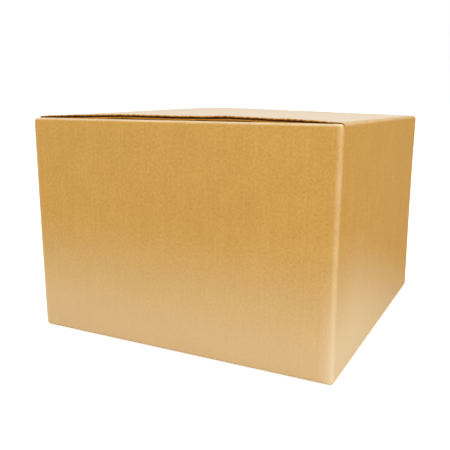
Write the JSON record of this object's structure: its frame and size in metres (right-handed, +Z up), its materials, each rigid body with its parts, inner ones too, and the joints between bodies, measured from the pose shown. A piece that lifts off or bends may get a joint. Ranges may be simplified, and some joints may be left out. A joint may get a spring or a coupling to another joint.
{
  "type": "corrugated carton with tuck-in lid",
  "caption": "Square brown corrugated carton, closed by a hinged lid panel that tucks in behind the opposite wall over dust flaps.",
  "frame": {"origin": "centre of the carton's base, on the surface it stands on", "axes": "+Z up, the front wall faces -Y, the lid's hinge crease is on the +X wall"},
  "size_m": [0.46, 0.46, 0.324],
  "materials": {
    "kraft_board": "matt brown kraft paper",
    "kraft_lid": "matt brown kraft paper"
  },
  "bodies": {
    "carton": {"carton_body": "kraft_board"},
    "lid": {"lid": "kraft_lid"}
  },
  "joints": [
    {"name": "lid_hinge", "type": "hinge", "parent": "carton", "child": "lid", "pos_m": [0.23, 0, 0.31615], "axis": [0, 1, 0], "range_deg": [0, 175]}
  ]
}
